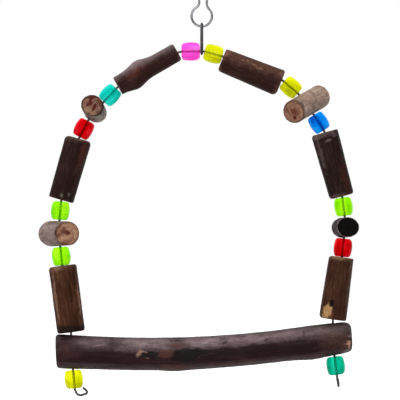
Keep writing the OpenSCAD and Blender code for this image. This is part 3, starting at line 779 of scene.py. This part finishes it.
def drill(piece, place, radius, half_length):
    """Cuts a round hole along the place's z through a piece."""
    n = DRILL_SIDES
    a = np.linspace(0, 2 * math.pi, n, endpoint=False)
    rings = [
        np.stack([radius * np.cos(a), radius * np.sin(a), np.full(n, z)], axis=-1)
        for z in (-half_length, half_length)
    ]
    world = place.out(np.array(rings).reshape(-1, 3))
    index = list(range(n))
    faces = [[i, (i + 1) % n, n + (i + 1) % n, n + i] for i in index]
    faces += [index[::-1], [n + i for i in index]]
    mesh = bpy.data.meshes.new("bit")
    mesh.from_pydata(world.tolist(), [], faces)
    bit = in_scene("bit", mesh)
    cut = piece.modifiers.new("hole", "BOOLEAN")
    cut.operation, cut.solver, cut.object = "DIFFERENCE", "EXACT", bit
    bpy.context.view_layer.update()
    whole = piece.data
    piece.data = bpy.data.meshes.new_from_object(piece.evaluated_get(bpy.context.evaluated_depsgraph_get()))
    piece.modifiers.clear()
    bpy.data.objects.remove(bit)
    bpy.data.meshes.remove(mesh)
    bpy.data.meshes.remove(whole)


# Beads

BEAD_SEGMENTS = 72
# The round edge of a bead and the barrel curve of its side.
BEAD_EDGE = 1.6
BEAD_BARREL = 13.0
# The round edge of its hole's mouth, and how far in from each end the bore is straight.
MOUTH_EDGE = 0.35
MOUTH_DEPTH = 0.9
# The straight bore lies this close round the wire.
WIRE_RADIUS = 0.6
WIRE_GAP = 0.012


def bead_profile(wide, half, hole):
    """A bead's outline as radius and height: its side, its upper end, its bore and its lower end."""
    straight = half - BEAD_EDGE
    side = [
        (wide - BEAD_BARREL + math.sqrt(BEAD_BARREL**2 - z * z), z)
        for z in np.linspace(-straight, straight, 25)
    ]
    shoulder = side[-1][0]
    slope = math.atan2(straight, BEAD_BARREL)
    end = []
    for turn in np.linspace(slope, math.pi / 2, 9)[1:]:
        rise = (math.sin(turn) - math.sin(slope)) / (1 - math.sin(slope))
        end.append((shoulder - BEAD_EDGE * (math.cos(slope) - math.cos(turn)), straight + BEAD_EDGE * rise))
    flat, mouth = end[-1][0], hole + MOUTH_EDGE
    end += [(flat + (mouth - flat) * share, half) for share in (0.35, 0.7, 1.0)]
    for turn in np.linspace(0, math.pi / 2, 5)[1:]:
        end.append((hole + MOUTH_EDGE * (1 - math.sin(turn)), half - MOUTH_EDGE * (1 - math.cos(turn))))
    inner = half - MOUTH_DEPTH
    bore = [(WIRE_RADIUS + WIRE_GAP, z) for z in np.linspace(inner, -inner, 11)]
    return side + end + bore + [(r, -z) for r, z in reversed(end)]


def bead(node, material, seed):
    """A barrel bead, slightly uneven, that stands for the CAD's."""
    place = on_arch(node)
    local = place.into(node_mesh(node)[0])
    reach = np.hypot(local[:, 0], local[:, 1])
    low, high, hole = local[:, 2].min(), local[:, 2].max(), reach.min()
    a = np.linspace(0, 2 * math.pi, BEAD_SEGMENTS, endpoint=False)
    profile = bead_profile(reach.max(), (high - low) / 2, hole)
    rings = np.array([[(r * math.cos(t), r * math.sin(t), z) for t in a] for r, z in profile])
    rings[..., 2] += (low + high) / 2
    ripple = layered(rings * 0.3 + seed * 11, seed, 2)
    outer = np.hypot(rings[..., 0], rings[..., 1]) > hole + 0.1
    rings[..., :2] *= np.where(outer, 1 - 0.008 - 0.008 * ripple, 1)[..., None]
    grain = rings + np.array([0, 0, seed * 23.0])
    piece = grid_object(node + "_barrel", place.out(rings), True, {"grain": grain})
    piece.data.materials.append(material)
    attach(piece, node)
    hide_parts(node)


# Building the swing

make_camera()
make_world()
make_floor()
for name, lamp in LAMPS.items():
    area_lamp(name, *lamp)

# The wires keep the CAD's shape.
CLIP_STEEL = steel("clip_steel", (66, 67, 70), (140, 141, 145), 0.2, 0.38)
WIRE_STEEL = steel("wire_steel", (32, 31, 33), (82, 80, 83), 0.22, 0.42)
for node, shade in (("hook", CLIP_STEEL), ("link", WIRE_STEEL), ("arch_wire", WIRE_STEEL)):
    NODES[node].data.materials.clear()
    NODES[node].data.materials.append(shade)

# Each plastic's tones, from the deepest to the palest, which is a painted highlight.
PLASTICS = {
    "pink": ((244, 48, 196), (255, 74, 210), (255, 90, 220), (255, 150, 240)),
    "teal": ((0, 146, 130), (0, 186, 168), (20, 212, 196), (90, 246, 234)),
    "red": ((140, 0, 2), (192, 0, 4), (216, 2, 12), (250, 56, 74)),
    "lime": ((104, 212, 0), (146, 246, 4), (172, 254, 20), (200, 255, 50)),
    "yellow": ((176, 182, 0), (214, 218, 4), (230, 234, 18), (244, 248, 64)),
    "blue": ((0, 80, 192), (0, 122, 230), (8, 152, 246), (48, 192, 255)),
    "green": ((0, 130, 102), (0, 172, 134), (8, 196, 154), (56, 228, 188)),
}
plastics = {name: plastic(name + "_plastic", colours) for name, colours in PLASTICS.items()}
BEADS = (
    "pink", "teal", "red_left", "lime_above_log", "lime_below_log", "yellow_end", "yellow_top",
    "yellow_side", "blue", "lime_right", "red_right", "green_end",
)
for number, name in enumerate(BEADS, 1):
    colour = name.split("_")[0]
    bead("bead_" + name, plastics[colour], number)

# Rings along a branch and points round it.
BRANCH_RINGS, BRANCH_AROUND = 112, 128


def branch(where, seed, bevel, ridge, ring, patches, side=None, corners=(), worn=0.25, **colours):
    """A branch on its wire. side is a line in the picture, beyond which the bark is another tone."""
    node = "branch_" + where
    grid = Grid(Solid(node, on_arch(node)), BRANCH_RINGS, BRANCH_AROUND)
    grid.patches(patches)
    if side:
        start, end, soft, ragged, side_seed, amount, depth = side
        grid.paint("tone", grid.beyond(start, end, soft, ragged, side_seed), amount, depth)
    grid.roughen(11 * seed, ridge, ring)
    material = bark("bark_" + where, **colours)
    wooden(node, grid, material, bevel, seed, worn, corners)


BRANCHES = {
    # A thin knotty branch, smooth and dark, with a painted grey sheen on its upper side.
    "upper_left": dict(
        bevel=(0.6, 1.0), ridge=0.05, ring=0.03, relief=0.35,
        tones=((26, 12, 11), (40, 21, 19), (58, 38, 36)), dust_and_sheen=(122, 104, 106),
        patches=(
            (135, 72, (4.5, 1.8), 0, "warm", 0.4, 0, 0.4, 0.9, 4),
            (128, 64, (2.0, 1.6), 0, "tone", 0.25, 0, 0.4, 0.7, 41),
        ),
        # The upper side is painted paler, as a grey sheen.
        side=((112, 80), (175, 45), 6, 1.2, 3, 0.75, 0),
    ),
    # Very dark, with a greyish rim above, partly worn and partly a painted highlight, and scuffs below.
    "middle_left": dict(
        bevel=(1.0, 2.2), worn=0.05, ridge=0.08, ring=0.05,
        tones=((20, 9, 8), (33, 17, 15), (54, 38, 34)), dust_and_sheen=(98, 92, 84),
        patches=(
            # A thin painted highlight along the upper rim, with some wear.
            (77, 136, (0.8, 5), 0, "tone", 0.3, 0, 0.6, 0.5, 5),
            (84, 152, (8, 1.8), 0, "warm", 0.3, 0, 0.4, 0.7, 6),
            (61.7, 195, (0.9, 0.7), 0, "tone", 0.4, 0, 1.1, 0.5, 7),
            (69, 196, (1.1, 0.5), 0, "tone", 0.35, 0, 1.1, 0.5, 8),
        ),
    ),
    # Reddish brown with long streaks, a chipped upper rim and painted shade along its foot.
    "lower_left": dict(
        bevel=(1.3, 1.5), ridge=0.13, ring=0.03, streak=(0.9, 0.9, 0.09),
        tones=((30, 15, 8), (56, 31, 19), (88, 58, 40)), dust_and_sheen=(124, 90, 70),
        patches=(
            (55.5, 268.5, (1.0, 2.2), 0, "tone", 0.5, 0, 1.0, 0.5, 9),
            (56, 298, (12, 0.9), 0, "tone", 0.5, 0, 0.6, 0.6, 10),
            (79.5, 302, (9, 0.8), 0, "tone", 0.6, 0, 0.7, 0.6, 12),
            (70, 290, (4.5, 0.3), 0, "pit", 0.5, 0, 0.7, 0.25, 14),
        ),
        # Painted shade: the foot is darkened.
        side=((90, 325.5), (50, 325.5), 1.5, 1.0, 13, -1.0, 0),
    ),
    # Dark below, with a browner strip along the upper side where the bark has flaked off.
    "upper_right": dict(
        bevel=(1.2, 1.3), corners=((273, 95, 1.4, 50),), ridge=0.1, ring=0.04,
        tones=((25, 11, 8), (38, 19, 15), (58, 37, 31)), dust_and_sheen=(92, 60, 48),
        bare=((110, 78, 60), (168, 124, 100)),
        patches=(
            (249, 61.5, (1.3, 0.45), 20, "bare", 0.5, 0.12, 0.9, 0.3, 249),
            (254.5, 65, (1.4, 0.4), 10, "bare", 0.5, 0.12, 0.9, 0.3, 254),
            (260, 68.5, (1.2, 0.45), -10, "bare", 0.5, 0.12, 0.9, 0.3, 260),
            (243, 60, (0.8, 0.35), 0, "bare", 0.5, 0.12, 0.9, 0.3, 243),
            (227, 52, (1.8, 2.6), 0, "tone", 0.5, 0, 0.5, 0.5, 17),
            (282, 74, (1.4, 2.0), 0, "tone", 0.45, 0, 0.5, 0.5, 18),
        ),
        side=((222, 57), (284, 80), 5, 3.0, 15, 0.42, 0.14),
    ),
    # Nearly black, with pale scuffs and painted highlights on its upper end, and an old knot.
    "middle_right": dict(
        bevel=(1.3, 0.8), corners=((313, 131, 2.0, 45), (331, 196, 0.8, 45)), ridge=0.1, ring=0.05,
        tones=((16, 8, 7), (29, 15, 14), (48, 34, 31)), dust_and_sheen=(108, 90, 88),
        patches=(
            # The first two are pale spots, partly scuffs and partly painted highlights on the worn edge.
            (314.5, 138, (1.0, 1.3), 20, "tone", 0.45, 0, 0.9, 0.5, 19),
            (327.5, 140.5, (0.5, 1.1), 0, "tone", 0.4, 0, 1.0, 0.8, 24),
            (332, 133, (1.8, 2.4), 0, "tone", 0.35, 0, 0.6, 0.6, 30),
            (327, 136.5, (0.9, 0.9), 0, "pit", 0.9, 0.7, 0.3, 0.25, 21),
            (338, 177, (3.6, 0.7), 0, "pit", 0.5, 0.25, 0.7, 0.25, 22),
            (345, 180, (7, 1.8), 0, "warm", 0.2, 0, 0.5, 0.7, 23),
            (321, 156, (8, 1.2), 0, "tone", 0.25, 0, 0.7, 0.6, 24),
        ),
    ),
    # Brown, with a tan upper rim, a knot hole and bared wood beside it.
    "lower_right": dict(
        bevel=(1.1, 0.8), corners=((327, 256, 0.9, 45), (320, 314, 0.8, 45)), ridge=0.09, ring=0.05,
        tones=((30, 15, 10), (54, 30, 21), (78, 50, 38)), dust_and_sheen=(112, 86, 70),
        bare=((128, 92, 54), (178, 140, 98)),
        patches=(
            (339, 255.5, (1.0, 5.0), 0, "bare", 0.4, 0, 0.9, 0.5, 25),
            (326.5, 310.5, (4.0, 2.4), 10, "bare", 0.95, 0.3, 0.4, 0.12, 26),
            (330.5, 314.5, (1.6, 1.2), 0, "warm", 0.45, 0, 0.5, 0.5, 27),
            (330.5, 303, (1.7, 1.3), 0, "pit", 1.0, 1.1, 0.25, 0.2, 28),
            (349, 280, (14, 0.9), 0, "tone", 0.25, 0, 0.5, 0.6, 29),
        ),
    ),
}
for number, (where, own) in enumerate(BRANCHES.items(), 1):
    branch(where, number, **own)


# Cross logs, each with its face to the front.
def log_place(node, side, off_mm, spin_degrees, pitch_degrees):
    """A log's own frame: z comes forward out of its front face and x runs up along the wire."""
    wire = on_arch(node)
    spin, pitch = math.radians(spin_degrees), math.radians(pitch_degrees)
    level = math.sin(spin) * wire.x - math.cos(spin) * wire.y
    forward = math.cos(pitch) * level + math.sin(pitch) * wire.z
    middle = wire.o + side * off_mm * MM * (math.cos(spin) * wire.x + math.sin(spin) * wire.y)
    return Place(middle, forward, np.cross(forward, wire.z))


LEFT, RIGHT = -1, 1  # the side of its hole that a log's middle lies on, along its own x
LOG_RINGS, LOG_AROUND = 64, 128
# The bores of the logs and the perch, in mm: their radii, and a half length that is sure to go through.
LOG_BORE, PERCH_BORE = 1.2, 1.3
LOG_CUT, PERCH_CUT = 12, 14
LOG_BARK = dict(streak=(0.8, 0.8, 0.25), rough=(0.55, 0.8), dust_and_sheen=(150, 138, 132), relief=0.7)


def log(where, side, off, spin, pitch, seed, edge, collar, marks=(), slot="log_bark", **colours):
    """A cross log, drilled for its wire.

    Its middle lies off mm beside its hole, and spin and pitch are its turn and lean in degrees. edge is how
    dark its faces' rims are, and collar how far above or below the rest in tone the bark beside them is.
    """
    node = "log_" + where
    grid = Grid(Solid(node, log_place(node, side, off, spin, pitch)), LOG_RINGS, LOG_AROUND)
    grid.paint("tone", step(0.05, 0.5, layered(grid.points() * 0.22, seed, 3)), -0.3)
    grid.paint("warm", step(0.1, 0.6, layered(grid.points() * 0.3, seed + 3, 3)), 0.2)
    level = grid.points()[..., 2] + 0.5 * layered(grid.points() * 0.5, seed + 5, 3)
    grid.paint("tone", step(grid.high - 2.0, grid.high - 0.8, level), collar)
    grid.roughen(seed, ridge=0.1, ring=0.05, grit=0.04)
    material = bark("bark_" + node, **LOG_BARK, **colours)
    piece = wooden(node, grid, material, (0.25, 0.25), seed, 0.1, (), edge, marks, drilled=False)
    drill(piece, on_arch(node), LOG_BORE, LOG_CUT)


LOGS = {
    "upper_left": dict(
        side=LEFT, off=1.5, spin=-9, pitch=5, seed=71, edge=0.75, collar=-0.6,
        tones=((96, 82, 74), (138, 125, 117), (172, 162, 156)),
        cut=((56, 32, 26), (108, 76, 66), (150, 118, 100)),
        cut_core=(104, 66, 60), bare=((118, 92, 70), (156, 128, 102)), stain=((50, 14, 8), (82, 34, 24)),
        marks=(
            (91, 100.6, (2.3, 0.65), 63, "warm", 1.0),
            (95.2, 107.2, (2.3, 0.75), 63, "warm", 1.0),
            (88.2, 105, (1.2, 0.8), 40, "warm", 0.9),
            (93.5, 97.6, (2.8, 0.7), 8, "warm", 0.9),
            (99, 102, (2.4, 0.8), 105, "warm", 0.6),
            (91.5, 104, (1.4, 0.6), 63, "warm", 0.9),
            (102.3, 106, (3.4, 0.9), 95, "pit", 0.6),
            (99.6, 112.4, (2.6, 0.9), 48, "pit", 0.6),
            (88, 110, (1.8, 1.5), 20, "bare", 0.45),
            (94.5, 112.5, (2.0, 0.6), 20, "bare", 0.4),
        ),
    ),
    "lower_left": dict(
        side=LEFT, off=0.4, spin=31, pitch=0, seed=72, edge=0.4, collar=-0.35,
        tones=((93, 75, 72), (130, 112, 107), (158, 142, 136)),
        cut=((92, 58, 38), (150, 110, 90), (180, 146, 116)),
        cut_core=(112, 70, 58), bare=((148, 110, 80), (196, 158, 122)), stain=((66, 28, 18), (100, 54, 38)),
        marks=(
            (65.7, 231.8, (2.9, 1.0), -8, "warm", 0.85),
            (68.3, 232.8, (0.9, 0.8), 0, "pit", 0.35),
            (64.8, 228.8, (0.9, 0.8), 60, "warm", 0.7),
            (59.4, 235, (1.6, 1.0), 30, "warm", 0.7),
            (60, 226.5, (1.6, 0.9), 50, "warm", 0.5),
            (65.1, 242.8, (2.6, 1.1), 14, "warm", 0.6),
            (72.6, 239.8, (1.6, 1.2), 40, "warm", 0.4),
            (66.3, 237.4, (2.4, 0.8), 10, "bare", 0.5),
            (61, 240.4, (1.3, 0.5), -20, "bare", 0.6),
            (56.6, 230, (4.6, 0.5), 82, "pit", 0.75),
        ),
    ),
    "upper_right": dict(
        side=RIGHT, off=0.3, spin=-39, pitch=2, seed=73, edge=0.5, collar=-0.65,
        tones=((107, 87, 73), (154, 130, 116), (190, 168, 154)),
        cut=((82, 50, 34), (124, 88, 72), (154, 118, 98)),
        cut_core=(108, 66, 52), bare=((130, 98, 78), (172, 140, 116)), stain=((66, 24, 16), (98, 50, 36)),
        marks=(
            (294.3, 118.2, (1.1, 1.0), 0, "warm", 1.0),
            (294.3, 118.4, (0.6, 0.5), 0, "pit", 0.5),
            (294, 112.6, (2.2, 1.6), 0, "warm", 0.7),
            (287.2, 110.6, (2.6, 1.0), -60, "warm", 0.45),
            (289.6, 112, (2.6, 0.35), -65, "bare", 0.45),
            (301, 114, (1.8, 0.5), 80, "bare", 0.4),
        ),
    ),
    "lower_right": dict(
        side=RIGHT, off=0.5, spin=7, pitch=2, seed=74, edge=0.0, collar=0.5, slot="log_bark_dark",
        tones=((26, 21, 21), (48, 41, 42), (84, 76, 78)),
        cut=((4, 3, 3), (9, 7, 7), (22, 17, 17)),
        cut_core=(9, 5, 6),
    ),
}
for where, own in LOGS.items():
    log(where, **own)


# The perch, a bowed branch drilled at both ends.
# The middle of each hole, as x and z in mm, and which way it leans.
PERCH_HOLES = ((-64.84, -183.0, -1), (65.95, -176.6, 1))
PERCH_RINGS, PERCH_AROUND = 330, 150
(left_x, left_z, _), (right_x, right_z, _) = PERCH_HOLES
lean = math.atan2(right_z - left_z, right_x - left_x)
middle = node_mesh("perch")[0].mean(axis=0)
perch_place = Place(middle, (math.cos(lean), 0, math.sin(lean)), (0, 1, 0))
levels = [perch_place.into(np.array([x, 0, z]) * MM)[2] for x, z, _ in PERCH_HOLES]
grid = Grid(Solid("perch", perch_place), PERCH_RINGS, PERCH_AROUND, trim=1.6, holes=levels, short=0.7)

# A soft painted sheen along the upper front, as amounts of tone at places across the picture.
PAINTED_SHEEN = (
    (58, 0.0), (70, 0.1), (84, 0.32), (98, 0.4), (112, 0.22), (126, 0.5), (142, 0.68), (164, 0.66),
    (176, 0.3), (192, 0.6), (206, 0.72), (240, 0.6), (285, 0.5), (315, 0.36), (335, 0.28), (350, 0.15),
)
# The painted sheen, a band of painted shade below it and a paler underside painted as light from below: the
# angle round the perch, the half width in degrees, the amounts and how uneven they are.
PERCH_PAINTED_LIGHT = (
    (223, 32, PAINTED_SHEEN, 0.5),
    (276, 17, ((60, 0.0), (130, -0.15), (200, -0.45), (300, -0.4), (335, -0.1), (350, 0.0)), 0.3),
    (322, 16, ((60, 0.08), (85, 0.16), (120, 0.06), (200, 0.14), (350, 0.08)), 0.5),
)
across = grid.in_picture()[0]
# Paints the sheen, the shade below it and the lit underside into the tone.
for number, (angle, width, amounts, change) in enumerate(PERCH_PAINTED_LIGHT):
    off = turn_from(math.radians(angle), grid.a) / math.radians(width)
    uneven = 1 + change * layered(grid.points() * [0.4, 0.4, 0.16], 90 + number, 4)
    uneven += 0.3 * layered(grid.points() * [1.5, 1.5, 0.7], 95 + number, 3)
    grid.paint("tone", np.exp(-(off**2)) * np.interp(across, *zip(*amounts)) * uneven)
# The patches, without their seeds. The tone rows are painted sheen on the upper front, a painted highlight at
# the right end's top and painted light on its lower edge.
PERCH_PATCHES = (
    (186.5, 355.2, (6.6, 3.9), 0, "pit", 0.86, 0.5, 0.16, 0.07),
    (200, 351, (4.6, 1.6), 12, "pit", 0.85, 0.25, 0.3, 0.2),
    (178, 340.4, (5.2, 0.45), 0, "pit", 0.8, 0.25, 0.5, 0.4),
    (194.5, 346.6, (5.0, 0.3), 12, "pit", 0.7, 0.15, 0.4, 0.4),
    (178, 344.6, (5.6, 1.4), 0, "warm", 0.7, 0, 0.4, 0.5),
    (166, 353.4, (3.9, 1.9), 6, "warm", 0.8, 0.1, 0.6, 0.6),
    (178, 366.6, (7.0, 1.3), 0, "warm", 0.75, 0, 0.5, 0.6),
    (223, 364, (8.0, 1.2), -3, "warm", 0.4, 0, 0.5, 0.7),
    (212, 352.6, (2.0, 0.35), 0, "warm", 0.35, 0, 0.5, 0.5),
    (65, 348, (3.4, 2.6), 0, "warm", 0.3, 0, 0.4, 0.8),
    (139.6, 353.2, (0.9, 1.8), 40, "bare", 0.5, 0.15, 0.6, 0.4),
    (143.6, 350.8, (2.0, 0.2), 14, "bare", 0.8, 0, 0.5, 0.4),
    (147.5, 357.4, (0.8, 0.2), 20, "bare", 0.5, 0, 0.6, 0.4),
    (153.5, 354.2, (2.6, 1.7), 10, "pit", 0.7, 0.45, 0.4, 0.25),
    (144, 355, (1.3, 0.9), 30, "pit", 0.75, 0.3, 0.4, 0.3),
    (118, 343.4, (5.6, 0.9), 4, "pit", 0.4, 0, 0.6, 0.5),
    # Painted sheen streaks.
    (99, 344.6, (4.4, 0.5), -14, "tone", 0.22, 0, 0.6, 0.6),
    (118.5, 349.4, (2.8, 0.5), -6, "tone", 0.16, 0, 0.7, 0.6),
    (84, 341.4, (2.4, 1.0), 0, "tone", 0.2, 0, 0.6, 0.6),
    (75.5, 356.6, (0.4, 0.4), 0, "pit", 0.6, 0.1, 0.3, 0.3),
    (95.3, 366, (0.6, 0.7), 0, "pit", 0.7, 0.1, 0.4, 0.3),
    (212, 341.6, (2.1, 0.26), 4, "pit", 0.75, 0.12, 0.7, 0.4),
    (218.5, 343.1, (1.2, 0.26), 8, "pit", 0.7, 0.12, 0.6, 0.4),
    (223.8, 342.4, (1.3, 0.75), -20, "pit", 0.7, 0.2, 0.6, 0.35),
    (241.5, 336, (3.0, 0.9), -2, "pit", 0.42, 0.1, 0.4, 0.35),
    (265.8, 339.2, (1.3, 0.7), -20, "pit", 0.8, 0.25, 0.5, 0.35),
    (270.5, 337.4, (1.9, 0.26), -6, "pit", 0.6, 0.1, 0.5, 0.4),
    (245, 350, (2.6, 0.5), 0, "pit", 0.6, 0.12, 0.6, 0.4),
    (237, 361, (0.9, 0.45), 0, "pit", 0.6, 0.1, 0.5, 0.4),
    (303.4, 331.6, (0.28, 2.7), 0, "pit", 0.7, 0.1, 0.2, 0.4),
    (298.5, 341.4, (2.2, 1.5), 0, "pit", 0.3, 0.05, 0.6, 0.4),
    (288, 356.8, (0.9, 1.3), 20, "pit", 0.5, 0.12, 0.6, 0.4),
    (335, 339, (6.5, 4.6), 0, "bare", 0.07, 0, 0.6, 0.9),
    (345, 345, (2.2, 3.0), 0, "warm", 0.6, 0, 0.5, 0.6),
    (348.6, 343.6, (0.8, 2.3), 0, "bare", 1.0, 0.15, 0.35, 0.25),
    # A painted highlight, and painted light on the lower edge.
    (349.4, 335, (0.5, 0.7), 0, "tone", 0.9, 0, 0.3, 0.4),
    (346, 350.6, (2.2, 0.8), -30, "tone", 0.5, 0, 0.4, 0.4),
)
grid.patches(row + (31 + number,) for number, row in enumerate(PERCH_PATCHES))
grid.roughen(77, ridge=0.1, ring=0.05, ridge_scale=0.6)
perch_bark = bark(
    "bark_perch", ((17, 6, 8), (30, 11, 14), (56, 33, 36)), (122, 102, 105),
    bare=((128, 94, 82), (184, 148, 124)), stain=((50, 27, 24), (88, 55, 50)),
    cut=((28, 24, 22), (56, 50, 42), (100, 86, 68)), cut_core=(48, 34, 28),
    streak=(0.5, 0.5, 0.07), rough=(0.4, 0.6), shine=0.06,
)
PERCH_CORNERS = ((346, 324, 1.6, 60),)
perch = wooden("perch", grid, perch_bark, (2.0, 2.9), 7, 0.08, PERCH_CORNERS, drilled=False)
for x, z, way in PERCH_HOLES:
    hole = Place((x * MM, 0, z * MM), (way * math.sin(lean), 0, math.cos(lean)), (0, 1, 0))
    drill(perch, hole, PERCH_BORE, PERCH_CUT)

bpy.context.scene.view_settings.view_transform = "Standard"
